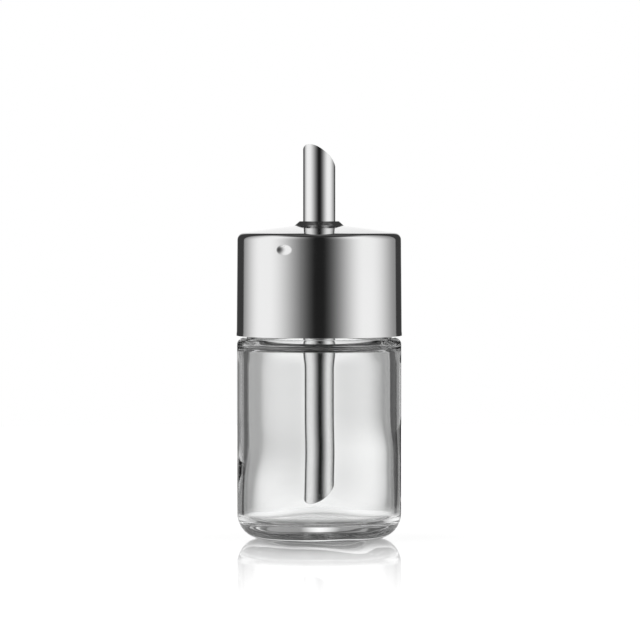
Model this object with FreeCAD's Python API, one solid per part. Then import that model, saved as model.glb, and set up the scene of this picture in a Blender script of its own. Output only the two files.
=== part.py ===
import FreeCAD, Part
import math
import os

# A sugar shaker: a clear glass jar with a screw neck, a tall polished steel cap on it, and a
# steel dosing tube that runs from above the cap down to just over the jar's floor.
# +Z is up, the front is -Y, the origin is the middle of the jar's underside. Millimetres.

# ---- driving dimensions: the glass jar ----
jar_diameter = 64.0
body_height = 78.2          # underside to the top of the shoulder
heel_radius = 9.7           # rounding between the wall and the underside
foot_ring_width = 1.6       # flat ring that the jar stands on
push_up = 2.0               # how far the underside is domed in
wall_at_shoulder = 4.5      # the wall thins downwards, as blown glass does
wall_at_heel = 2.65
base_thickness = 6.9        # from the table to the edge of the inner floor
floor_rise = 0.7            # the inner floor is a little higher in the middle
inner_heel_radius = 3.0
shoulder_radius = 2.7
shoulder_slope_deg = 8.0    # the top of the shoulder falls away from the neck
neck_root_radius = 0.6
inner_shoulder_radius = 2.4
inner_shoulder_rise = 2.0   # the inside bends this far above the outside
wall_bend_high = 9.5        # above the inner heel: the wall thins between these two heights
wall_bend_low = 7.0
neck_wall = 3.1
rim_radius = 1.0

# ---- the screw thread shared by the neck and the cap's insert ----
thread_pitch = 4.0
thread_height = 1.2
thread_base_width = 1.7
thread_crest_width = 0.8
thread_turns = 1.5
thread_start = 3.4          # first turn above the shoulder
thread_run_out = 1.9        # last turn to the neck's rim
thread_bite = 0.3           # each ridge starts this far inside its wall
thread_clearance = 0.35     # between a crest and the wall that it faces

# ---- the steel cap ----
cap_overhang = 0.25         # the cap's lower lip stands this far outside the jar
cap_gap = 0.8               # slot between the shoulder and the cap's lower lip
cap_side_height = 37.2      # lower lip to where the top edge begins to round
cap_sheet = 0.6
cap_draft_deg = 0.45
cap_edge_radius = 2.8
lip_height = 1.6
lip_flare = 0.1
dome_edge_slope_deg = 9.5   # slope of the top next to its rounded edge
dome_middle_slope_deg = 6.3  # slope of the top next to the collar
collar_height = 1.8
collar_land = 1.45          # flat ring round the tube on top of the collar
collar_bevel_deg = 42.0     # slope of the collar's side
collar_root_radius = 1.0
collar_edge_radius = 0.25

# ---- the oval grip mark pressed into the cap ----
dimple_width = 6.4
dimple_height = 3.9
dimple_depth = 0.75
dimple_drop = 3.5           # below the start of the rounded edge
dimple_turn_deg = 25.0      # left of the front
dimple_flatness = 0.45      # how much of the pressing ball lies outside the wall

# ---- the threaded insert inside the cap ----
insert_fit = 0.25           # between the insert and the cap's wall
insert_wall = 1.4
insert_setback = 1.3        # above the cap's lower lip
insert_flange = 1.8         # thickness of the flange on the jar's rim
insert_flange_reach = 0.5   # the flange ends this far outside the neck's bore

# ---- the dosing tube ----
tube_diameter = 12.5
tube_wall = 0.6
tube_stand_out = 30.0       # collar's top to the tip
tube_floor_gap = 6.0        # lower tip above the inner floor
tube_fit = 0.2              # between the tube and its hole in the cap
mouth_cut_deg = 42.5        # slant of the upper end
foot_cut_deg = 40.0         # slant of the lower end
cut_turn_deg = 53.0         # both ends open this way, from +X towards +Y

# ---- modelling tolerances ----
tiny = 0.01                 # two heights closer than this are the same
cut_over = 1.0              # a cutting tool passes the surface by this
block_size = 75.0           # a cutting block is wider than anything that it cuts

# ---- worked-out sizes ----
jar_radius = jar_diameter / 2
foot_radius = jar_radius - heel_radius
cap_bottom = body_height + cap_gap
cap_edge_start = cap_bottom + cap_side_height
cap_lip_radius = jar_radius + cap_overhang
cap_side_radius = cap_lip_radius - lip_flare
cap_draft = math.tan(math.radians(cap_draft_deg))
cap_edge_line = cap_side_radius - (cap_side_height - lip_height) * cap_draft

neck_height = thread_start + thread_turns * thread_pitch + thread_run_out
rim_height = body_height + neck_height
insert_top = rim_height + insert_flange
insert_bottom = cap_bottom + insert_setback
cap_bore_at_insert = cap_side_radius - (insert_top - cap_bottom) * cap_draft - cap_sheet
insert_outer_radius = cap_bore_at_insert - insert_fit
insert_inner_radius = insert_outer_radius - insert_wall
neck_radius = insert_inner_radius - thread_clearance - thread_height
neck_bore_radius = neck_radius - neck_wall

tube_radius = tube_diameter / 2
tube_hole_radius = tube_radius + tube_fit
collar_top_radius = tube_radius + collar_land


# ---- drawing helpers: profiles lie in the XZ plane and turn about Z ----
def point(radius, height):
    return FreeCAD.Vector(radius, 0, height)


def line(start, end):
    return Part.LineSegment(point(*start), point(*end)).toShape()


def arc(centre, radius, start_deg, end_deg):
    """An arc about a centre; angles run from outwards (0) to upwards (90)."""
    def on_circle(degrees):
        angle = math.radians(degrees)
        return point(centre[0] + radius * math.cos(angle), centre[1] + radius * math.sin(angle))
    middle_deg = (start_deg + end_deg) / 2
    return Part.Arc(on_circle(start_deg), on_circle(middle_deg), on_circle(end_deg)).toShape()


def arc_on_axis(start, end):
    """A shallow arc from the axis outwards, level where it leaves the axis."""
    drop = end[1] - start[1]
    radius = (end[0] ** 2 + drop ** 2) / (2 * abs(drop))
    up = 1 if drop < 0 else -1
    half_angle = math.asin(end[0] / radius) / 2
    middle = (radius * math.sin(half_angle), start[1] - up * radius * (1 - math.cos(half_angle)))
    return Part.Arc(point(*start), point(*middle), point(*end)).toShape()


def ends(edges):
    first = edges[0].Vertexes[0].Point
    last = edges[-1].Vertexes[-1].Point
    return (first.x, first.z), (last.x, last.z)


def revolve(edges):
    """Closes a profile and turns it once round the Z axis."""
    face = Part.Face(Part.Wire(Part.__sortEdges__(edges)))
    solid = face.revolve(FreeCAD.Vector(0, 0, 0), FreeCAD.Vector(0, 0, 1), 360)
    if solid.Volume < 0:
        solid.reverse()
    return solid


def cylinder(radius, low, high):
    return Part.makeCylinder(radius, high - low, point(0, low))


def as_one_solid(shape):
    """The single solid of a finished boolean result."""
    tidy = shape.removeSplitter()
    if len(tidy.Solids) != 1:
        raise RuntimeError("expected one solid, got %d" % len(tidy.Solids))
    return tidy.Solids[0]


def thread_ridge(root_radius, direction, start_height, turns):
    """A helical ridge on a round wall; direction 1 stands outwards, -1 inwards.

    The ridge starts a little inside the wall, so that it fuses with it.
    """
    half_base = thread_base_width / 2
    half_crest = thread_crest_width / 2
    flank = (half_base - half_crest) / thread_height
    back = root_radius - direction * thread_bite
    crest = root_radius + direction * thread_height
    half_back = half_base + thread_bite * flank
    corners = [(back, -half_back), (crest, -half_crest), (crest, half_crest), (back, half_back)]
    sides = [line(corners[i], corners[(i + 1) % 4]) for i in range(4)]
    profile = Part.Wire(sides)
    helix = Part.makeHelix(thread_pitch, thread_pitch * turns, root_radius)
    ridge = Part.Wire(helix.Edges).makePipeShell([profile], True, True)
    ridge.translate(FreeCAD.Vector(0, 0, start_height))
    return ridge


# ---- the glass jar ----
def make_jar():
    inner_top_radius = jar_radius - wall_at_shoulder
    inner_low_radius = jar_radius - wall_at_heel
    slope = math.radians(shoulder_slope_deg)

    # outside: domed underside, foot ring, heel, wall, rounded shoulder
    ring_inner = foot_radius - foot_ring_width
    outside = [arc_on_axis((0, push_up), (ring_inner, 0))]
    outside.append(line((ring_inner, 0), (foot_radius, 0)))
    outside.append(arc((foot_radius, heel_radius), heel_radius, -90, 0))
    shoulder_centre_radius = jar_radius - shoulder_radius
    shoulder_fall = (shoulder_centre_radius + shoulder_radius * math.sin(slope) - neck_radius)
    shoulder_end_height = body_height - shoulder_fall * math.tan(slope)
    shoulder_centre = (shoulder_centre_radius, shoulder_end_height - shoulder_radius * math.cos(slope))
    outside.append(line((jar_radius, heel_radius), (jar_radius, shoulder_centre[1])))
    outside.append(arc(shoulder_centre, shoulder_radius, 0, 90 - shoulder_slope_deg))
    shoulder_end = ends(outside)[1]

    # the neck, with a small hollow where it rises from the shoulder and a round rim
    root_reach = neck_root_radius * math.tan(math.radians(45) - slope / 2)
    root_start = (neck_radius + root_reach * math.cos(slope), body_height - root_reach * math.sin(slope))
    root_centre = (neck_radius + neck_root_radius, body_height + root_reach)
    outside.append(line(shoulder_end, root_start))
    outside.append(arc(root_centre, neck_root_radius, 270 - shoulder_slope_deg, 180))
    outside.append(line((neck_radius, root_centre[1]), (neck_radius, rim_height - rim_radius)))
    outside.append(arc((neck_radius - rim_radius, rim_height - rim_radius), rim_radius, 0, 90))
    inner_rim = neck_bore_radius + rim_radius
    outside.append(line((neck_radius - rim_radius, rim_height), (inner_rim, rim_height)))
    outside.append(arc((inner_rim, rim_height - rim_radius), rim_radius, 90, 180))

    # inside: neck bore, inner shoulder, thinning wall, inner heel, floor
    inner_step = inner_top_radius - neck_bore_radius
    turn = math.acos(max(0.0, 1 - inner_step / (2 * inner_shoulder_radius)))
    upper_centre = (neck_bore_radius + inner_shoulder_radius, shoulder_centre[1] + inner_shoulder_rise)
    lower_centre = (inner_top_radius - inner_shoulder_radius,
                    upper_centre[1] - 2 * inner_shoulder_radius * math.sin(turn))
    turn_deg = math.degrees(turn)
    wall_top = (inner_top_radius, lower_centre[1])
    wall_foot = (inner_low_radius, base_thickness + inner_heel_radius)
    inside = [line((neck_bore_radius, rim_height - rim_radius), (neck_bore_radius, upper_centre[1]))]
    inside.append(arc(upper_centre, inner_shoulder_radius, 180, 180 + turn_deg))
    inside.append(arc(lower_centre, inner_shoulder_radius, turn_deg, 0))
    wall = Part.BezierCurve()
    wall.setPoles([point(*wall_top),
                   point(inner_top_radius, wall_foot[1] + wall_bend_high),
                   point(inner_low_radius, wall_foot[1] + wall_bend_low),
                   point(*wall_foot)])
    inside.append(wall.toShape())
    floor_edge = inner_low_radius - inner_heel_radius
    inside.append(arc((floor_edge, wall_foot[1]), inner_heel_radius, 0, -90))
    inside.append(arc_on_axis((0, base_thickness + floor_rise), (floor_edge, base_thickness)))
    axis = line((0, base_thickness + floor_rise), (0, push_up))

    body = revolve(outside + inside + [axis])
    ridge = thread_ridge(neck_radius, 1, body_height + thread_start, thread_turns)
    return as_one_solid(body.fuse(ridge))


# ---- the steel cap ----
def cap_outline():
    """The cap's outer skin from its lower lip to the top of the collar."""
    edge_slope = math.radians(dome_edge_slope_deg)
    middle_slope = math.radians(dome_middle_slope_deg)
    bevel = math.radians(collar_bevel_deg)

    skin = [line((cap_lip_radius, cap_bottom), (cap_lip_radius, cap_bottom + lip_height / 2))]
    skin.append(line((cap_lip_radius, cap_bottom + lip_height / 2),
                     (cap_side_radius, cap_bottom + lip_height)))
    skin.append(line((cap_side_radius, cap_bottom + lip_height), (cap_edge_line, cap_edge_start)))
    edge_centre = (cap_edge_line - cap_edge_radius * math.cos(math.radians(cap_draft_deg)),
                   cap_edge_start - cap_edge_radius * math.sin(math.radians(cap_draft_deg)))
    skin.append(arc(edge_centre, cap_edge_radius, cap_draft_deg, 90 - dome_edge_slope_deg))
    dome_start = ends(skin)[1]

    # the dome is one large arc that is tangent to the rounded edge; the collar's hollow root
    # is an arc that is tangent to the dome and to the collar's bevel
    bevel_run = collar_height / math.tan(bevel)
    foot_radius_at_dome = collar_top_radius + bevel_run
    tangent = collar_root_radius * math.tan((bevel - middle_slope) / 2)
    dome_end_radius = foot_radius_at_dome + tangent * math.cos(middle_slope)
    dome_radius = (dome_start[0] - dome_end_radius) / (math.sin(edge_slope) - math.sin(middle_slope))
    dome_centre = (dome_start[0] - dome_radius * math.sin(edge_slope),
                   dome_start[1] - dome_radius * math.cos(edge_slope))
    skin.append(arc(dome_centre, dome_radius, 90 - dome_edge_slope_deg, 90 - dome_middle_slope_deg))
    dome_end = ends(skin)[1]
    root_centre = (dome_end[0] + collar_root_radius * math.sin(middle_slope),
                   dome_end[1] + collar_root_radius * math.cos(middle_slope))
    skin.append(arc(root_centre, collar_root_radius,
                    270 - dome_middle_slope_deg, 270 - collar_bevel_deg))
    bevel_start = ends(skin)[1]
    collar_top = bevel_start[1] + (bevel_start[0] - collar_top_radius) * math.tan(bevel)
    skin.append(line(bevel_start, (collar_top_radius, collar_top)))
    return skin, collar_top


def pressing_ball(extra):
    """The flattened ball that presses the grip mark, grown by extra all round."""
    outside = dimple_flatness
    reach = outside + dimple_depth
    spread = 1 / math.sqrt(1 - (outside / reach) ** 2)
    semi_axes = (dimple_width / 2 * spread + extra, reach + extra, dimple_height / 2 * spread + extra)
    scale = FreeCAD.Matrix()
    scale.scale(*semi_axes)
    ball = Part.makeSphere(1.0).transformGeometry(scale)
    height = cap_edge_start - dimple_drop
    wall_radius = cap_side_radius - (height - cap_bottom - lip_height) * cap_draft
    ball.translate(FreeCAD.Vector(0, -(wall_radius + outside), height))
    ball.rotate(FreeCAD.Vector(0, 0, 0), FreeCAD.Vector(0, 0, 1), -dimple_turn_deg)
    return ball


def make_cap():
    skin, collar_top = cap_outline()
    closing = [line((collar_top_radius, collar_top), (0, collar_top)),
               line((0, collar_top), (0, cap_bottom)),
               line((0, cap_bottom), (cap_lip_radius, cap_bottom))]
    full = revolve(skin + closing)
    open_face = min(full.Faces, key=lambda face: face.CenterOfMass.z)
    shell = full.makeThickness([open_face], -cap_sheet, tiny / 10)

    # the grip mark: its back bulges into the cap by the thickness of the sheet
    shell = shell.fuse(pressing_ball(cap_sheet).common(full)).cut(pressing_ball(0))
    shell = as_one_solid(shell.cut(cylinder(tube_hole_radius, cap_bottom, collar_top + cut_over)))

    top_edge = [edge for edge in shell.Edges
                if abs(edge.BoundBox.ZMin - collar_top) < tiny
                and abs(edge.BoundBox.XMax - collar_top_radius) < tiny]
    return as_one_solid(shell.makeFillet(collar_edge_radius, top_edge))


# ---- the threaded insert: pressed into the cap, its flange rests on the jar's rim ----
def make_insert():
    flange_radius = neck_bore_radius + insert_flange_reach
    corners = [(insert_inner_radius, insert_bottom), (insert_outer_radius, insert_bottom),
               (insert_outer_radius, insert_top), (flange_radius, insert_top),
               (flange_radius, rim_height), (insert_inner_radius, rim_height)]
    sides = [line(corners[i], corners[(i + 1) % len(corners)]) for i in range(len(corners))]
    ring = revolve(sides)

    # its ridge runs under the neck's second turn, a thread clearance below it, up to the flange
    flank_room = (thread_base_width + thread_crest_width) / 2 + thread_clearance
    start = body_height + thread_start - flank_room + thread_pitch
    turns = (rim_height - thread_base_width - start) / thread_pitch
    ridge = thread_ridge(insert_inner_radius, -1, start, turns)
    return as_one_solid(ring.fuse(ridge))


# ---- the dosing tube ----
def cutting_block(height, slant_deg, side):
    """A block that removes all of the tube past a slanting plane, above (1) or below (-1) it."""
    corner = FreeCAD.Vector(-block_size / 2, -block_size / 2, 0)
    block = Part.makeBox(block_size, block_size, block_size, corner)
    if side < 0:
        block.translate(FreeCAD.Vector(0, 0, -block_size))
    tilt = slant_deg * side
    block.rotate(FreeCAD.Vector(0, 0, 0), FreeCAD.Vector(0, 1, 0), tilt)
    block.rotate(FreeCAD.Vector(0, 0, 0), FreeCAD.Vector(0, 0, 1), cut_turn_deg)
    block.translate(FreeCAD.Vector(0, 0, height))
    return block


def make_tube():
    collar_top = cap_outline()[1]
    tip = collar_top + tube_stand_out
    low_tip = base_thickness + floor_rise + tube_floor_gap
    mouth_middle = tip - tube_radius * math.tan(math.radians(mouth_cut_deg))
    foot_middle = low_tip + tube_radius * math.tan(math.radians(foot_cut_deg))
    low_end = low_tip - tube_diameter
    high_end = tip + tube_diameter
    tube = cylinder(tube_radius, low_end, high_end)
    tube = tube.cut(cylinder(tube_radius - tube_wall, low_end - cut_over, high_end + cut_over))
    tube = tube.cut(cutting_block(mouth_middle, mouth_cut_deg, 1))
    return as_one_solid(tube.cut(cutting_block(foot_middle, foot_cut_deg, -1)))


nodes = {"jar": make_jar(), "cap": make_cap(), "thread_insert": make_insert(), "dosing_tube": make_tube()}

os.makedirs("parts", exist_ok=True)
for name, solid in nodes.items():
    solid.exportStep("parts/%s.step" % name)
    box = solid.optimalBoundingBox()
    print("%-14s valid %s  volume %.2f cm3  z %.2f to %.2f  width %.2f"
          % (name, solid.isValid(), solid.Volume / 1000, box.ZMin, box.ZMax, box.XLength))
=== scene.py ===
# %% [markdown]
# # A sugar shaker in clear glass and polished steel
#
# The object has four pieces: a glass jar, a tall steel cap, a threaded ring hidden inside the
# cap, and a slanted steel tube that measures out one spoonful of sugar when the shaker is tipped.
# Glass and mirror metal have almost no colour of their own. They show the room, so this lesson
# spends as much care on the studio as on the shapes.
#
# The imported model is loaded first. It fixes every size: the new pieces below read their
# heights and widths from its boxes, so they land in the right place with no fitting.

# %% Load the fixed frame
import bpy, bmesh, math
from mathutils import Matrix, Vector


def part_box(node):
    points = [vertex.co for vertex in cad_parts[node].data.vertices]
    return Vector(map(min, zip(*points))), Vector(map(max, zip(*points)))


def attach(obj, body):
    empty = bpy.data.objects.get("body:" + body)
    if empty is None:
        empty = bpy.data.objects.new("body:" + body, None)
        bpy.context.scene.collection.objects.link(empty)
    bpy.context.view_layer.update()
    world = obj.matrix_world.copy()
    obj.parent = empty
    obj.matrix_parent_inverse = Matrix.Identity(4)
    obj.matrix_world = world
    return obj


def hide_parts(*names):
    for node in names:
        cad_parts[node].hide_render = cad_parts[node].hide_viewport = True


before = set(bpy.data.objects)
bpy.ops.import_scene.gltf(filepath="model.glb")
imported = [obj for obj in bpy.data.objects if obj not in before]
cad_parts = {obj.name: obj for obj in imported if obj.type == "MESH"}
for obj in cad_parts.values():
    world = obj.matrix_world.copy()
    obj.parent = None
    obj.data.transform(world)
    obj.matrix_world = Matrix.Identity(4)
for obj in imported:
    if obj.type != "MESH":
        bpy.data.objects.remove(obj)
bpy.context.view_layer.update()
MM = 0.001
print("pieces in the frame:", sorted(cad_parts))

# %% [markdown]
# ## The camera
#
# Product pictures of bottles are taken from far away with a long lens, almost level with the
# object. Upright edges then stay upright, and only the rims show as thin ellipses. The camera
# looks at the middle of the object's height from a little above it.

# %% Place the camera
look_at = Vector((0.31 * MM, 0, 85.0 * MM))
camera_distance = 1.6
camera_rise = math.radians(1.9)
frame_width = 249.3 * MM

lens = bpy.data.cameras.new("camera")
lens.lens = lens.sensor_width * camera_distance / frame_width
lens.clip_start = 0.01
lens.clip_end = 50
camera = bpy.data.objects.new("camera", lens)
camera.location = look_at + camera_distance * Vector((0, -math.cos(camera_rise), math.sin(camera_rise)))
camera.rotation_euler = (math.pi / 2 - camera_rise, 0, 0)
bpy.context.scene.collection.objects.link(camera)
bpy.context.scene.camera = camera
bpy.context.scene.view_settings.view_transform = "Standard"
print("lens %.0f mm at %.2f m" % (lens.lens, camera_distance))

# %% [markdown]
# ## Writing shader maths as Python
#
# A material is a graph of nodes. Wiring Math nodes by hand is slow to read, so two small helpers
# are used. `Tree.node` adds any node: settings first, then a value or a link for each socket.
# `Value` wraps one number of the graph, and the ordinary operators on it add the Math nodes.

# %% Shader helpers
class Value:
    """One number in a node tree. Python's operators on it add Math nodes."""

    def __init__(self, tree, socket):
        self.tree = tree
        self.socket = socket

    def maths(self, operation, first, second=0.0):
        return self.tree.value("ShaderNodeMath", {"operation": operation}, {0: first, 1: second})

    def __add__(self, other):
        return self.maths("ADD", self, other)

    def __sub__(self, other):
        return self.maths("SUBTRACT", self, other)

    def __mul__(self, other):
        return self.maths("MULTIPLY", self, other)

    def __truediv__(self, other):
        return self.maths("DIVIDE", self, other)

    def __pow__(self, other):
        return self.maths("POWER", self, other)

    def __rsub__(self, other):
        return self.maths("SUBTRACT", other, self)

    __radd__ = __add__
    __rmul__ = __mul__

    def over(self, other):
        """1 where this number is larger than the other, else 0."""
        return self.maths("GREATER_THAN", self, other)

    def at_least(self, other):
        """The larger of this number and the other."""
        return self.maths("MAXIMUM", self, other)

    def unsigned(self):
        """This number without its sign."""
        return self.maths("ABSOLUTE", self)

    def rise(self, start, end):
        """Climbs softly from 0 at start to 1 at end."""
        return self.tree.value("ShaderNodeMapRange", {"interpolation_type": "SMOOTHSTEP"},
                               {"Value": self, "From Min": start, "From Max": end})


class Tree:
    """The node tree of a material or of the world, emptied and ready to fill."""

    def __init__(self, owner):
        owner.use_nodes = True
        self.tree = owner.node_tree
        self.tree.nodes.clear()

    def node(self, kind, settings=None, sockets=None):
        made = self.tree.nodes.new(kind)
        for name, setting in (settings or {}).items():
            setattr(made, name, setting)
        for name, given in (sockets or {}).items():
            given = given.socket if isinstance(given, Value) else given
            if isinstance(given, bpy.types.NodeSocket):
                self.tree.links.new(given, made.inputs[name])
            else:
                made.inputs[name].default_value = given
        return made

    def value(self, kind, settings=None, sockets=None, output=0):
        return Value(self, self.node(kind, settings, sockets).outputs[output])


def new_finish(name):
    """A material whose node tree is empty, and that tree."""
    material = bpy.data.materials.new(name)
    return material, Tree(material)


print("shader helpers ready")

# %% [markdown]
# ## The studio
#
# Polished steel is photographed between two large soft lights, one on each side, with black
# boards beside the white background. The boards draw the dark edges that make clear glass and
# steel stand out from a white page. The gap between the lights, where the camera stands, is the
# dark stripe down the middle of the cap.
#
# Lamps and boards could be modelled as planes. Painting them into the world by direction is
# lighter, and nothing gets in the camera's way. `compass` is the angle from the camera's side, 0
# in front and 180 behind, and `height` is the angle above the floor.

# %% Split directions into angles
world = bpy.data.worlds.new("studio")
bpy.context.scene.world = world
studio = Tree(world)
direction = studio.node("ShaderNodeTexCoord").outputs["Generated"]
split = studio.node("ShaderNodeSeparateXYZ", None, {0: direction})
across, deep, upward = (Value(studio, split.outputs[i]) for i in range(3))
in_degrees = math.degrees(1)
bearing = across.maths("ARCTAN2", across, 0 - deep) * in_degrees
compass = bearing.unsigned()
height = upward.maths("ARCSINE", upward) * in_degrees
print("directions split into compass and height")

# %% [markdown]
# A lamp climbs from the gap to its full brightness, fades again towards the back and ends at its
# board. Its numbers are the compass angles where that happens, the power that bends the climb, and
# the share of its brightness that it keeps at the back.
#
# Light that has passed through glass arrives turned a little. So that the boards and the gap show
# up in the jar too, rays that went through glass meet them a few degrees off.

# %% Set the lamps and the boards
lamp_level = 1.15
gap_level = 0.017
board_level = 0.035
left_lamp = {"full": 76, "power": 1.2, "fade": 90, "gone": 140, "keeps": 0.25, "board": 132}
right_lamp = {"full": 66, "power": 1.35, "fade": 76, "gone": 136, "keeps": 0.28, "board": 136}
gap_edge = (2, 11)
board_blur = 2
lamp_top = (50, 68)
ceiling_level = 0.04
ceiling_behind = 0.08
ceiling_turn = (60, 150)
glass_board_shift = 7
glass_gap_turn = 6

light_path = studio.node("ShaderNodeLightPath")
through_glass = Value(studio, light_path.outputs["Is Transmission Ray"])
gap_bearing = bearing - glass_gap_turn * through_glass
from_gap = gap_bearing.unsigned()


def lamp(shape):
    """How bright one side of the studio is at each compass angle."""
    climb = from_gap.rise(0, shape["full"]) ** shape["power"] * from_gap.rise(*gap_edge)
    fade = 1 - (1 - shape["keeps"]) * compass.rise(shape["fade"], shape["gone"])
    board_edge = shape["board"] - glass_board_shift * through_glass
    board = compass.rise(board_edge - board_blur, board_edge + board_blur)
    return lamp_level * climb * fade * (1 - board) + board * board_level


on_right = gap_bearing.over(0)
lamps = on_right * lamp(right_lamp) + (1 - on_right) * lamp(left_lamp) + gap_level
above_lamps = height.rise(*lamp_top)
ceiling = ceiling_level + ceiling_behind * compass.rise(*ceiling_turn)
sides = lamps * (1 - above_lamps) + ceiling * above_lamps
print("two lamps and two boards")

# %% [markdown]
# The white background stands straight behind the object. Steel sees it brighten softly all the
# way to its middle, and the reach is how far it spreads to each side, in degrees. Glass
# looks through to a little more of it, because the wall of a jar bends light outwards: without
# that wider, greyer part the inside of the jar would have no clear line where its wall begins.
# The camera itself sees plain white everywhere.

# %% Paint the background
straight_behind = 180
backdrop_full = 181
left_reach = 17
right_reach = 14.5
backdrop_top = (18, 23)
backdrop_level = 1.07
beyond_level = 0.3
beyond_reach = 29
beyond_blur = 5

backdrop_height = 1 - height.rise(*backdrop_top)
reach = left_reach - (left_reach - right_reach) * on_right
backdrop = compass.rise(straight_behind - reach, backdrop_full) * backdrop_height
beyond_edge = straight_behind - beyond_reach
beyond = compass.rise(beyond_edge - beyond_blur, beyond_edge) * backdrop_height
beyond = beyond * through_glass * beyond_level
behind = (backdrop * backdrop_level).at_least(beyond)
brightness = behind.at_least(sides * (1 - backdrop))
seen = Value(studio, light_path.outputs["Is Camera Ray"])
brightness = brightness * (1 - seen) + seen
glow = studio.node("ShaderNodeBackground", None, {"Color": brightness, "Strength": 1.0})
studio.node("ShaderNodeOutputWorld", None, {"Surface": glow.outputs[0]})
print("white background painted")

# %% [markdown]
# ## The floor
#
# The shaker stands on a white gloss board. It is a plain disc, a hair below the jar's foot so that
# glass and board never share a surface. A plane would do as well, but a disc has no corner that
# could show in another view.

# %% Lay the floor
floor_radius = 0.75
floor_steps = 128
floor_sink = 0.05 * MM

bm = bmesh.new()
bmesh.ops.create_circle(bm, cap_ends=True, segments=floor_steps, radius=floor_radius)
bmesh.ops.translate(bm, verts=bm.verts, vec=(0, 0, -floor_sink))
floor_mesh = bpy.data.meshes.new("floor")
bm.to_mesh(floor_mesh)
bm.free()
floor = bpy.data.objects.new("floor", floor_mesh)
bpy.context.scene.collection.objects.link(floor)
print("floor laid, %.1f m across" % (2 * floor_radius))

# %% [markdown]
# Two things make a floor look real: it is darker near the object, and a gloss board mirrors the
# foot of the jar at a flat angle. The darkening is painted shade in the floor's colour, not a cast
# shadow, and depends only on the place on the floor: a tight dark spot under the foot, a faint ring
# about it, and a short soft painted shadow towards the front, because the bright background lights
# the jar from behind. All the distances are in metres from the jar's axis.

# %% Where shade is painted on the floor
foot_shade = {"depth": 0.7, "from": 0.012, "to": 0.034}
ring_shade = {"depth": 0.22, "from": 0.02, "to": 0.07}
front_shade = {"depth": 0.5, "from": 0.02, "to": 0.08}
front_sides = (0.005, 0.033)
front_start = 0.03

floor_white, sheet = new_finish("floor_white")
place = sheet.node("ShaderNodeTexCoord").outputs["Object"]
spot = sheet.node("ShaderNodeSeparateXYZ", None, {0: place})
sideways = Value(sheet, spot.outputs["X"])
backwards = Value(sheet, spot.outputs["Y"])
distance = sheet.value("ShaderNodeVectorMath", {"operation": "LENGTH"}, {0: place}, output="Value")


def shade(kind):
    """How dark a round painted shade makes the floor, deepest at the jar's axis."""
    return kind["depth"] * (1 - distance.rise(kind["from"], kind["to"]))


# painted shade: a dark spot and a faint ring round the foot, darkening the floor's glow
contact = 1 - shade(foot_shade).at_least(shade(ring_shade))
# painted shadow towards the front of the jar, not cast by any lamp
shadow = shade(front_shade) * (1 - sideways.unsigned().rise(*front_sides))
shadow = shadow * (0 - backwards).rise(0, front_start)
print("contact shade and front shadow placed")

# %% [markdown]
# The board glows a little so that it reads as plain white to the camera. Mirrors and glass see it
# as a duller white with painted shade under the jar, where no light gets in. A plain gloss shader is
# mixed in near the object: it is strongest at flat angles and fades with distance, so that the
# reflection dies away as it does on a waxed board.

# %% Mix the floor's finish
glow_level = 0.84
mirrored_level = 0.54
under_level = 0.06
under_edge = (0.028, 0.045)
paper_white = (0.85, 0.85, 0.85, 1)
pure_white = (1, 1, 1, 1)
gloss_roughness = 0.03
gloss_reach = 0.54
gloss_level = 1.65
flatness_power = 8
fading_power = 3

light_path = sheet.node("ShaderNodeLightPath")
looked_at = Value(sheet, light_path.outputs["Is Camera Ray"])
# painted shade: mirrors and glass see the floor's glow go dark under the jar
mirrored_glow = under_level + mirrored_level * distance.rise(*under_edge)
glow_colour = glow_level * looked_at * contact + (1 - looked_at) * mirrored_glow
glow = sheet.node("ShaderNodeEmission", None, {"Color": glow_colour, "Strength": 1.0})
matt = sheet.node("ShaderNodeBsdfDiffuse", None, {"Color": paper_white})
paper = sheet.node("ShaderNodeAddShader", None, {0: glow.outputs[0], 1: matt.outputs[0]})
gloss = sheet.node("ShaderNodeBsdfGlossy", None, {"Color": pure_white, "Roughness": gloss_roughness})
facing = sheet.value("ShaderNodeLayerWeight", None, {"Blend": 0.5}, output="Facing")
near = (1 - distance / gloss_reach).at_least(0)
shine = gloss_level * facing ** flatness_power * near ** fading_power
board = sheet.node("ShaderNodeMixShader", None, {0: shine, 1: paper.outputs[0], 2: gloss.outputs[0]})
print("gloss board mixed, its reflection fades out at %.2f m" % gloss_reach)

# %% [markdown]
# The painted front shadow lies over paper and gloss alike, as a near-black shader mixed in for the
# camera only. Mirror and glass further up don't see the far part of the board, which would wash
# them out, but the studio below the horizon: for their rays the board turns clear a little way out
# from the object.

# %% Painted shadow and far floor
shadow_black = (0.01, 0.01, 0.01, 1)
clear_from = (0.08, 0.15)

# painted shadow: a near-black shader laid over the floor in front of the jar
dark = sheet.node("ShaderNodeBsdfDiffuse", None, {"Color": shadow_black})
shadowed = sheet.node("ShaderNodeMixShader", None,
                      {0: shadow * looked_at, 1: board.outputs[0], 2: dark.outputs[0]})
mirror_ray = Value(sheet, light_path.outputs["Is Glossy Ray"])
glass_ray = Value(sheet, light_path.outputs["Is Transmission Ray"])
passes = mirror_ray.at_least(glass_ray) * distance.rise(*clear_from)
clear = sheet.node("ShaderNodeBsdfTransparent")
surface = sheet.node("ShaderNodeMixShader", None, {0: passes, 1: shadowed.outputs[0], 2: clear.outputs[0]})
sheet.node("ShaderNodeOutputMaterial", None, {"Surface": surface.outputs[0]})
floor_mesh.materials.append(floor_white)
print("floor finished")

# %% [markdown]
# ## Turned shapes
#
# The jar and the cap are shapes of revolution. They could be lathed with a Screw modifier on a
# curve. Here each is drawn as half an outline, a list of (radius, height) points in millimetres
# with its round stretches as arcs, and bmesh's Spin turns it round the upright axis: the same
# lathe, but its points can still be pressed and pushed afterwards. Every finished piece is shaded
# smooth, except across edges that turn by more than `crease_angle`, or a long face next to a fine
# bevel would be shaded as if it were bent.

# %% Helpers for turned shapes
crease_angle = math.radians(16)


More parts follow.
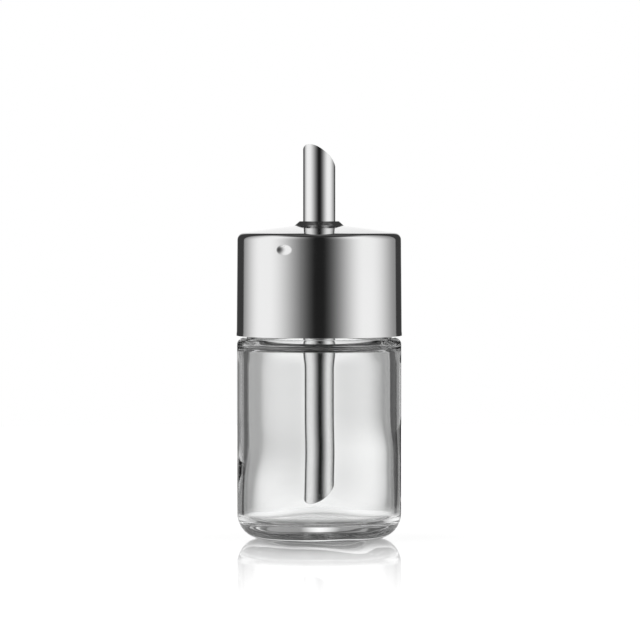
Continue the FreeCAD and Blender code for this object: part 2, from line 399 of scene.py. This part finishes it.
def arc(centre, radius, start, end, steps=8):
    """Points on a round stretch, from angle start to end: 0 is outwards, 90 is up."""
    turns = [math.radians(start + (end - start) * i / steps) for i in range(steps + 1)]
    return [(centre[0] + radius * math.cos(t), centre[1] + radius * math.sin(t)) for t in turns]


def line(start, end, steps=1):
    """Points on a straight stretch, without its first point."""
    return [(start[0] + (end[0] - start[0]) * i / steps, start[1] + (end[1] - start[1]) * i / steps)
            for i in range(1, steps + 1)]


def smooth(start, end, value):
    """Climbs softly from 0 at start to 1 at end, in either direction."""
    share = min(1, max(0, (value - start) / (end - start)))
    return share * share * (3 - 2 * share)


def turned(outline, stretches, start=0.0):
    """Spins an outline once round the axis, in stretches of (degrees, steps), into a bmesh."""
    bm = bmesh.new()
    side = Vector((math.cos(math.radians(start)), math.sin(math.radians(start)), 0))
    verts = [bm.verts.new(side * radius * MM + Vector((0, 0, height * MM))) for radius, height in outline]
    geom = verts + [bm.edges.new(pair) for pair in zip(verts, verts[1:])]
    for degrees, steps in stretches:
        spun = bmesh.ops.spin(bm, geom=geom, cent=(0, 0, 0), axis=(0, 0, 1), dvec=(0, 0, 0),
                              angle=math.radians(degrees), steps=steps, use_merge=degrees == 360)
        geom = spun["geom_last"]
    bmesh.ops.remove_doubles(bm, verts=bm.verts, dist=1e-7)
    bmesh.ops.recalc_face_normals(bm, faces=bm.faces)
    return bm


def polar(vert):
    """A point's distance from the axis, its angle from the front to the right, and its height."""
    across, deep, up = vert.co / MM
    return math.hypot(across, deep), math.atan2(across, -deep), up


def move_out(vert, shift):
    """Moves a point away from the axis by a distance in millimetres."""
    grow = 1 + shift * MM / math.hypot(vert.co.x, vert.co.y)
    vert.co.x *= grow
    vert.co.y *= grow


def piece(name, bm, material, node):
    """Makes a bmesh a smooth object that stands for a node of the frame."""
    for face in bm.faces:
        face.smooth = True
    mesh = bpy.data.meshes.new(name)
    bm.to_mesh(mesh)
    bm.free()
    mesh.set_sharp_from_angle(angle=crease_angle)
    mesh.materials.append(material)
    made = bpy.data.objects.new(name, mesh)
    bpy.context.scene.collection.objects.link(made)
    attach(made, "root")
    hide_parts(node)
    print("%s: %d faces" % (name, len(mesh.polygons)))


print("lathe ready")

# %% [markdown]
# ## Clear glass
#
# Soda glass bends light with an index of 1.5. Its colour is almost nothing: faint cords of
# slightly denser glass run round a pressed jar, and its skin has slow ripples from the mould.
# A perfectly even shader makes glass look like plastic, so both are put in: the cords as a very
# small change of colour, the ripples as a gentle bump a couple of centimetres long.

# %% Glass finish
glass_index = 1.5
cord_stretch = (30, 30, 220)
dense_glass = (0.975, 0.98, 0.978, 1)
plain_glass = (0.995, 0.997, 0.996, 1)
ripple_scale = 60.0
ripple_strength = 0.02
ripple_depth = 0.5 * MM

glass, tree = new_finish("clear_glass")
where = tree.node("ShaderNodeTexCoord").outputs["Object"]
stretched = tree.node("ShaderNodeMapping", None, {"Vector": where, "Scale": cord_stretch})
cords = tree.node("ShaderNodeTexNoise", None, {"Vector": stretched.outputs[0], "Scale": 1.0})
tint = tree.node("ShaderNodeMix", {"data_type": "RGBA"},
                 {0: cords.outputs[0], 6: dense_glass, 7: plain_glass})
ripple = tree.value("ShaderNodeTexNoise", None, {"Vector": where, "Scale": ripple_scale, "Detail": 1.0})
bump = tree.node("ShaderNodeBump", None,
                 {"Height": ripple, "Strength": ripple_strength, "Distance": ripple_depth})
shader = tree.node("ShaderNodeBsdfPrincipled", None,
                   {"Base Color": tint.outputs[2], "Roughness": 0.0, "IOR": glass_index,
                    "Transmission Weight": 1.0, "Normal": bump.outputs[0]})
tree.node("ShaderNodeOutputMaterial", None, {"Surface": shader.outputs[0]})
print("clear glass mixed")

# %% [markdown]
# ## The jar
#
# A pressed and blown jar: a thick base with a domed underside that stands on a narrow ring, a
# large round heel, an upright wall and a shoulder that runs into the screw neck. The glass is
# thick at the shoulder and thins downwards. Inside and outside are one closed outline, so that
# light meets real glass with two surfaces. A single sheet would look like a soap bubble.

# %% Outside of the jar
jar_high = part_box("jar")[1] / MM
jar_radius = jar_high.x
rim_height = jar_high.z
neck_height = 11.3
body_height = rim_height - neck_height
heel_radius = 9.7
foot_radius = jar_radius - heel_radius
foot_ring = 1.6
push_up = 2.0
shoulder_radius = 2.7
shoulder_slope = 8.0
shoulder_turn = body_height - shoulder_radius
neck_radius = 28.25
rim_radius = 1.0
dome_steps = 12
heel_steps = 24
wall_steps = 40
shoulder_steps = 12
thread_rows = 42

ring_inner = foot_radius - foot_ring
jar_outside = [(ring_inner * i / dome_steps, push_up * math.cos(i / dome_steps * math.pi / 2))
               for i in range(dome_steps + 1)]
jar_outside += arc((foot_radius, heel_radius), heel_radius, -90, 0, heel_steps)
jar_outside += line((jar_radius, heel_radius), (jar_radius, shoulder_turn), wall_steps)
shoulder_centre = (jar_radius - shoulder_radius, shoulder_turn)
jar_outside += arc(shoulder_centre, shoulder_radius, 0, 90 - shoulder_slope, shoulder_steps)[1:]
jar_outside += line(jar_outside[-1], (neck_radius, body_height), 2)
jar_outside += line(jar_outside[-1], (neck_radius, rim_height - rim_radius), thread_rows)
rim_centre = (neck_radius - rim_radius, rim_height - rim_radius)
jar_outside += arc(rim_centre, rim_radius, 0, 90)[1:]
print("outside: %d points" % len(jar_outside))

# %% [markdown]
# The inside follows the outside at the wall's thickness. Under the shoulder two equal bends join
# into an S that leads from the narrow neck to the wider wall, and `turn` is the angle that makes
# them meet. The wall then thins from the first height of `wall_thins` down to the second.

# %% Inside of the jar
wall_at_top = 4.35
wall_at_foot = 2.6
wall_thins = (50, 12)
neck_wall = 3.1
neck_bore = neck_radius - neck_wall
inner_shoulder = 2.4
bend_above_shoulder = 1.5
base_thickness = 6.9
floor_rise = 0.7
inner_heel = 2.8
bend_steps = 10
inner_wall_steps = 70
inner_heel_steps = 16

top_radius = jar_radius - wall_at_top
low_radius = jar_radius - wall_at_foot
turn = math.acos(1 - (top_radius - neck_bore) / (2 * inner_shoulder))
upper_bend = (neck_bore + inner_shoulder, shoulder_turn + bend_above_shoulder)
lower_bend = (top_radius - inner_shoulder, upper_bend[1] - 2 * inner_shoulder * math.sin(turn))
heel_height = base_thickness + inner_heel
floor_edge = low_radius - inner_heel

jar_inside = arc((neck_bore + rim_radius, rim_height - rim_radius), rim_radius, 90, 180)
jar_inside += line(jar_inside[-1], (neck_bore, upper_bend[1]), 4)
jar_inside += arc(upper_bend, inner_shoulder, 180, 180 + math.degrees(turn), bend_steps)[1:]
jar_inside += arc(lower_bend, inner_shoulder, math.degrees(turn), 0, bend_steps)[1:]
for radius, height in line((top_radius, lower_bend[1]), (low_radius, heel_height), inner_wall_steps):
    thinned = smooth(*wall_thins, height)
    jar_inside.append((top_radius + (low_radius - top_radius) * thinned, height))
jar_inside += arc((floor_edge, heel_height), inner_heel, 0, -90, inner_heel_steps)[1:]
for i in range(1, dome_steps + 1):
    share = i / dome_steps
    jar_inside.append((floor_edge * (1 - share), base_thickness + floor_rise * math.sin(share * math.pi / 2)))
print("inside: %d points" % len(jar_inside))

# %% [markdown]
# The mould gives the outside its shape, but only air shapes the inside, so the wall is never
# quite even. That unevenness is what makes the dark lines at the sides of a real jar waver, and
# what shrinks the tube a little where one looks at it through the wall. The inner wall leans to
# one side and bulges at one height, has a few shallow ribs front and back, and fine cords at the
# sides. All of it fades out before the shoulder and the floor.

# %% Uneven inner wall
wall_lean = 0.17
bulge_depth = 0.5
bulge_height = 35.5
bulge_spread = 8
rib_count = 4
rib_depth = 0.36
rib_turn = 0.03
cord_count = 14
cord_depth = 0.05
cord_narrow = 8
wall_between = (20, jar_radius - 1)
wall_fade_top = 5
wall_fade_foot = (base_thickness - 2, base_thickness + 18)


def press_uneven(bm):
    """Moves the inner wall in and out by fractions of a millimetre."""
    for vert in bm.verts:
        radius, angle, height = polar(vert)
        on_wall = wall_between[0] < radius < wall_between[1]
        if not on_wall or not base_thickness < height < lower_bend[1]:
            continue
        bulge = bulge_depth * math.exp(-((height - bulge_height) / bulge_spread) ** 2)
        shift = (wall_lean + bulge) * math.sin(angle)
        shift += rib_depth * math.cos(rib_count * (angle + rib_turn)) * math.cos(angle) ** 2
        shift += cord_depth * math.sin(cord_count * angle) * math.sin(angle) ** cord_narrow
        fade = smooth(lower_bend[1], lower_bend[1] - wall_fade_top, height) * smooth(*wall_fade_foot, height)
        move_out(vert, shift * fade)


print("inner wall uneven by up to %.2f mm" % (wall_lean + bulge_depth))

# %% [markdown]
# The plunger that presses the base leaves long, low waves in the inner floor, and the mould leaves
# lower ones in the underside. Each is the sum of two sine waves that cross at an angle, which never
# repeats visibly. Short waves would break the light into wriggling lines, so these are centimetres
# long. Their numbers are radians per millimetre, across and in depth.

# %% Waves in the base
floor_wave = {"height": 0.06, "slant": (0.16, 0.34), "rings": 0.2}
under_wave = {"height": 0.04, "slant": (0.34, -0.2), "stripes": 0.17}
wave_fade = 8


def press_swirl(bm):
    """Presses the waves into the inner floor and the underside, fading out at their edges."""
    for vert in bm.verts:
        radius, angle, height = polar(vert)
        across, deep = vert.co.x / MM, vert.co.y / MM
        if radius < floor_edge and abs(height - base_thickness) < 1:
            slant = floor_wave["slant"][0] * across + floor_wave["slant"][1] * deep
            wave = math.sin(slant) + math.sin(floor_wave["rings"] * radius + angle)
            fade = smooth(floor_edge, floor_edge - wave_fade, radius)
            vert.co.z += floor_wave["height"] * wave * fade * MM
        elif radius < ring_inner and height < base_thickness / 2:
            slant = under_wave["slant"][0] * across + under_wave["slant"][1] * deep
            wave = math.sin(slant) + math.sin(under_wave["stripes"] * across)
            fade = smooth(ring_inner, ring_inner - wave_fade, radius)
            vert.co.z += under_wave["height"] * wave * fade * MM


print("waves of %.2f mm ready for the inner floor" % floor_wave["height"])

# %% [markdown]
# The screw thread is a low ridge that climbs one and a half turns round the neck. It could be a
# separate swept bar, but overlapping glass shows as a seam, so the neck's own points are raised
# where the ridge passes. Both ends run out softly, as they do on moulded glass.

# %% Screw thread
thread = {"pitch": 4.0, "ridge": 1.2, "base": 1.7, "crest": 0.8, "turns": 1.5, "run_out": 0.06}
thread_rise = 3.4
thread_start = body_height + thread_rise
neck_skin = 0.01
neck_foot = 0.1


def raise_thread(bm):
    """Moves the neck's points outwards where the ridge of the thread passes them."""
    half_base = thread["base"] / 2
    half_crest = thread["crest"] / 2
    for vert in bm.verts:
        radius, angle, height = polar(vert)
        if radius < neck_radius - neck_skin or height < body_height + neck_foot:
            continue
        for lap in range(math.ceil(thread["turns"])):
            along = (angle / (2 * math.pi)) % 1 + lap
            middle = thread_start + thread["pitch"] * along
            flank = (half_base - abs(height - middle)) / (half_base - half_crest)
            run_out = smooth(0, thread["run_out"], along)
            run_out *= smooth(thread["turns"], thread["turns"] - thread["run_out"], along)
            move_out(vert, thread["ridge"] * min(1, max(0, flank)) * run_out)


print("thread of %.1f turns ready" % thread["turns"])

# %% [markdown]
# Outline, waves and thread come together here. The jar is spun in 256 steps, fine enough for its
# silhouette and for the thread's slant to look smooth.

# %% Spin the jar
jar_steps = 256
jar_mesh = turned(jar_outside + jar_inside, [(360, jar_steps)])
press_uneven(jar_mesh)
press_swirl(jar_mesh)
raise_thread(jar_mesh)
piece("jar_glass", jar_mesh, glass, "jar")

# %% [markdown]
# ## Polished steel
#
# Cap and tube are stainless steel, polished on a wheel. Steel has a plain grey colour and no
# body of its own: all its looks are in how sharp the mirror is. The wheel leaves hair-fine lines
# that run round the axis, so the noise is squeezed a hundred times in height, and handling
# leaves faint patches where the mirror is a touch duller. The wheel can't reach inside a narrow
# tube, so the steel within a given radius stays dull.

# %% Steel finish
wheel_lines = {"stretch": (40, 40, 4000), "detail": 3.0, "strength": 0.05, "depth": 0.02 * MM}
handled = {"scale": 55.0, "detail": 4.0, "between": (0.52, 0.75)}
darker_steel = (0.70, 0.70, 0.70, 1)
lighter_steel = (0.74, 0.74, 0.74, 1)
mirror_roughness = 0.05
line_roughness = 0.04
handled_roughness = 0.05
dull_roughness = 0.3


def polished_steel(name, dull_within):
    """Wheel-polished steel, left dull nearer to the axis than a radius in millimetres."""
    material, tree = new_finish(name)
    where = tree.node("ShaderNodeTexCoord").outputs["Object"]
    squeezed = tree.node("ShaderNodeMapping", None, {"Vector": where, "Scale": wheel_lines["stretch"]})
    lines = tree.value("ShaderNodeTexNoise", None,
                       {"Vector": squeezed.outputs[0], "Scale": 1.0, "Detail": wheel_lines["detail"]})
    patches = tree.value("ShaderNodeTexNoise", None,
                         {"Vector": where, "Scale": handled["scale"], "Detail": handled["detail"]})
    flattened = tree.node("ShaderNodeVectorMath", {"operation": "MULTIPLY"}, {0: where, 1: (1, 1, 0)})
    from_axis = tree.value("ShaderNodeVectorMath", {"operation": "LENGTH"}, {0: flattened.outputs[0]},
                           output="Value")
    rough = mirror_roughness + line_roughness * lines
    rough = rough + handled_roughness * patches.rise(*handled["between"])
    rough = rough + dull_roughness * (1 - from_axis.over(dull_within * MM))
    tone = tree.node("ShaderNodeMix", {"data_type": "RGBA"},
                     {0: (lines + patches) / 2, 6: darker_steel, 7: lighter_steel})
    scratches = tree.node("ShaderNodeBump", None,
                          {"Height": lines, "Strength": wheel_lines["strength"],
                           "Distance": wheel_lines["depth"]})
    shader = tree.node("ShaderNodeBsdfPrincipled", None,
                       {"Base Color": tone.outputs[2], "Metallic": 1.0, "Roughness": rough,
                        "Normal": scratches.outputs[0]})
    tree.node("ShaderNodeOutputMaterial", None, {"Surface": shader.outputs[0]})
    return material


tube_low, tube_high = (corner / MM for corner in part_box("dosing_tube"))
tube_radius = tube_high.x
tube_wall = 0.6
cap_steel = polished_steel("cap_steel", dull_within=0)
tube_steel = polished_steel("tube_steel", dull_within=tube_radius - tube_wall / 2)
print("steel polished")

# %% [markdown]
# ## The cap
#
# The cap is drawn from one thin disc of steel: a tall side that narrows very slightly upwards, a
# tight round edge, a low dome and a small turned collar where the tube comes through. Only its
# outer skin is drawn and spun. The grip mark is pressed into that skin, and Solidify then gives
# the sheet its thickness, so the mark shows on the inside too, as it does on pressed steel.

# %% Side of the cap
cap_low, cap_high = (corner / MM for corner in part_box("cap"))
cap_bottom = cap_low.z
collar_top = cap_high.z
lip_radius = cap_high.x
lip_height = 1.6
lip_step = 0.1
side_radius = lip_radius - lip_step
draft = 0.45
side_height = 37.2
edge_start = cap_bottom + side_height
edge_radius = 2.8
mark_drop = 3.5
mark_height = edge_start - mark_drop
mark_margin = 2.5
mark_rows = 42
plain_rows = 10

edge_line = side_radius - (side_height - lip_height) * math.tan(math.radians(draft))


def side_point(height):
    """The point of the drafted side at a height."""
    share = (height - cap_bottom - lip_height) / (side_height - lip_height)
    return side_radius + (edge_line - side_radius) * share, height


skin = [(lip_radius, cap_bottom), (lip_radius, cap_bottom + lip_height / 2)]
skin += line(skin[-1], side_point(cap_bottom + lip_height), 2)
skin += line(skin[-1], side_point(mark_height - mark_margin), plain_rows)
skin += line(skin[-1], side_point(mark_height + mark_margin), mark_rows)
print("side narrows by %.2f mm" % (side_radius - edge_line))

# %% [markdown]
# The low dome is part of a large circle. It leaves the round edge at one slope and reaches the
# collar at a flatter one, and those two slopes and radii fix its circle. A small hollow arc then
# turns the dome up into the collar's bevel, which meets the flat top in a tiny round edge.

# %% Dome and collar of the cap
dome_edge_slope = math.radians(9.5)
dome_middle_slope = math.radians(6.3)
collar_land = 1.45
collar_height = 1.8
collar_bevel = math.radians(42.0)
collar_root = 1.0
collar_edge = 0.25
hole_gap = 0.2
edge_steps = 16
dome_rings = 16
root_steps = 6

edge_centre = (edge_line - edge_radius, edge_start)
skin += arc(edge_centre, edge_radius, draft, 90 - math.degrees(dome_edge_slope), edge_steps)

bevel_foot = tube_radius + collar_land + collar_height / math.tan(collar_bevel)
tangent = collar_root * math.tan((collar_bevel - dome_middle_slope) / 2)
dome_end = bevel_foot + tangent * math.cos(dome_middle_slope)
dome_radius = (skin[-1][0] - dome_end) / (math.sin(dome_edge_slope) - math.sin(dome_middle_slope))
dome_centre = (skin[-1][0] - dome_radius * math.sin(dome_edge_slope),
               skin[-1][1] - dome_radius * math.cos(dome_edge_slope))
skin += arc(dome_centre, dome_radius, 90 - math.degrees(dome_edge_slope),
            90 - math.degrees(dome_middle_slope), dome_rings)[1:]
root_centre = (skin[-1][0] + collar_root * math.sin(dome_middle_slope),
               skin[-1][1] + collar_root * math.cos(dome_middle_slope))
skin += arc(root_centre, collar_root, 270 - math.degrees(dome_middle_slope),
            270 - math.degrees(collar_bevel), root_steps)[1:]
land_edge = tube_radius + collar_land - collar_edge * math.tan(collar_bevel / 2)
skin += arc((land_edge, collar_top - collar_edge), collar_edge, 90 - math.degrees(collar_bevel), 90, 4)
skin += line(skin[-1], (tube_radius + hole_gap, collar_top), 2)
print("cap skin: %d points, dome radius %.0f mm" % (len(skin), dome_radius))

# %% [markdown]
# The grip mark is a shallow oval, deepest at its left. A small dent needs small faces, so the
# skin is spun in two stretches: a narrow one with fine steps around the mark, and the rest of the
# turn with coarse ones. `dent` is 1 in the middle of the oval and runs out to 0 with no edge.

# %% Press the grip mark and thicken the sheet
mark_turn = -25.0
mark_width = 6.6
mark_tall = 4.2
mark_depth = 0.75
mark_softness = 1.5
deeper_left = 0.35
deeper_top = 0.2
fine_stretch = 24
fine_steps = 100
coarse_steps = 220
sheet_steel = 0.6


def press_mark(bm):
    """Presses the oval grip mark into the skin of the cap."""
    for vert in bm.verts:
        radius, angle, height = polar(vert)
        along = (angle - math.radians(mark_turn)) * radius / (mark_width / 2)
        up = (height - mark_height) / (mark_tall / 2)
        inside = 1 - along * along - up * up
        if inside > 0 and height < edge_start:
            dent = inside ** mark_softness * (1 - deeper_left * along + deeper_top * up)
            move_out(vert, -mark_depth * dent)


stretches = [(fine_stretch, fine_steps), (360 - fine_stretch, coarse_steps)]
cap_mesh = turned(skin, stretches, start=-90 + mark_turn - fine_stretch / 2)
press_mark(cap_mesh)
bmesh.ops.recalc_face_normals(cap_mesh, faces=cap_mesh.faces)
bmesh.ops.solidify(cap_mesh, geom=cap_mesh.faces[:], thickness=sheet_steel * MM)
piece("cap_shell", cap_mesh, cap_steel, "cap")

# %% [markdown]
# ## The dosing tube
#
# A length of thin steel tube, cut on a slant at both ends: the low cut lets sugar in over the
# jar's floor, the high one is the spout. Two open rings are pulled up into an outer and an inner
# wall, Bisect cuts both walls with the same slanting planes, and Bridge closes the cut ends with
# a rim as wide as the sheet. A fine bevel takes the sharpness off, and catches a line of light.

# %% Cut the tube
mouth_slant = 42.5
foot_slant = 40.0
cut_turn = 53.0
rim_bevel = 0.1
tube_steps = 160


def slant_cut(bm, height, slant, upwards):
    """Cuts off the tube past a slanting plane and closes the end with a rim. Returns its edges."""
    tilt = math.radians(slant)
    turn = math.radians(cut_turn)
    lean = math.sin(tilt)
    away = Vector((lean * math.cos(turn), lean * math.sin(turn), upwards * math.cos(tilt)))
    everything = bm.verts[:] + bm.edges[:] + bm.faces[:]
    cut = bmesh.ops.bisect_plane(bm, geom=everything, plane_co=(0, 0, height * MM), plane_no=away,
                                 clear_outer=True)
    ends = [edge for edge in cut["geom_cut"] if isinstance(edge, bmesh.types.BMEdge)]
    bmesh.ops.bridge_loops(bm, edges=ends)
    return ends


tube_mesh = bmesh.new()
for radius in (tube_radius, tube_radius - tube_wall):
    ring = bmesh.ops.create_circle(tube_mesh, segments=tube_steps, radius=radius * MM)["verts"]
    bmesh.ops.translate(tube_mesh, verts=ring, vec=(0, 0, (tube_low.z - tube_radius) * MM))
pulled = bmesh.ops.extrude_edge_only(tube_mesh, edges=tube_mesh.edges[:])["geom"]
top_ring = [vert for vert in pulled if isinstance(vert, bmesh.types.BMVert)]
uncut_length = tube_high.z - tube_low.z + 2 * tube_radius
bmesh.ops.translate(tube_mesh, verts=top_ring, vec=(0, 0, uncut_length * MM))
mouth_middle = tube_high.z - tube_radius * math.tan(math.radians(mouth_slant))
foot_middle = tube_low.z + tube_radius * math.tan(math.radians(foot_slant))
rims = slant_cut(tube_mesh, mouth_middle, mouth_slant, 1)
rims += slant_cut(tube_mesh, foot_middle, foot_slant, -1)
bmesh.ops.recalc_face_normals(tube_mesh, faces=tube_mesh.faces)
bmesh.ops.bevel(tube_mesh, geom=rims, offset=rim_bevel * MM, affect="EDGES", segments=2, profile=0.5,
                material=-1)
piece("slanted_tube", tube_mesh, tube_steel, "dosing_tube")

# %% [markdown]
# ## The threaded ring
#
# The ring inside the cap hardly shows: only its edge, as a dark line seen through the glass of
# the shoulder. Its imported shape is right, so it stays, and only gets a finish: grey moulded
# plastic, with the fine matt grain that spark-cut moulds leave.

# %% Plastic finish
grain_scale = 3000.0
grain_strength = 0.3
grain_depth = 0.03 * MM
grain_roughness = 0.12
plastic_roughness = 0.38
flow_scale = 90.0
darker_grey = (0.11, 0.11, 0.11, 1)
lighter_grey = (0.14, 0.14, 0.14, 1)

plastic, tree = new_finish("moulded_plastic")
where = tree.node("ShaderNodeTexCoord").outputs["Object"]
grain = tree.value("ShaderNodeTexNoise", None, {"Vector": where, "Scale": grain_scale, "Detail": 2.0})
flow = tree.value("ShaderNodeTexNoise", None, {"Vector": where, "Scale": flow_scale, "Detail": 2.0})
tone = tree.node("ShaderNodeMix", {"data_type": "RGBA"}, {0: flow, 6: darker_grey, 7: lighter_grey})
bump = tree.node("ShaderNodeBump", None,
                 {"Height": grain, "Strength": grain_strength, "Distance": grain_depth})
shader = tree.node("ShaderNodeBsdfPrincipled", None,
                   {"Base Color": tone.outputs[2], "Roughness": plastic_roughness + grain_roughness * grain,
                    "Normal": bump.outputs[0]})
tree.node("ShaderNodeOutputMaterial", None, {"Surface": shader.outputs[0]})
thread_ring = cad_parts["thread_insert"].data
thread_ring.materials.clear()
thread_ring.materials.append(plastic)
print("threaded ring finished")

# %% [markdown]
# ## Light paths
#
# A ray that looks through the jar meets up to eight glass surfaces and may bounce along inside
# the wall. With too few bounces those paths end early and show as black patches in the base.

# %% Allow long light paths
cycles = bpy.context.scene.cycles
cycles.max_bounces = 32
cycles.transmission_bounces = 32
cycles.glossy_bounces = 24
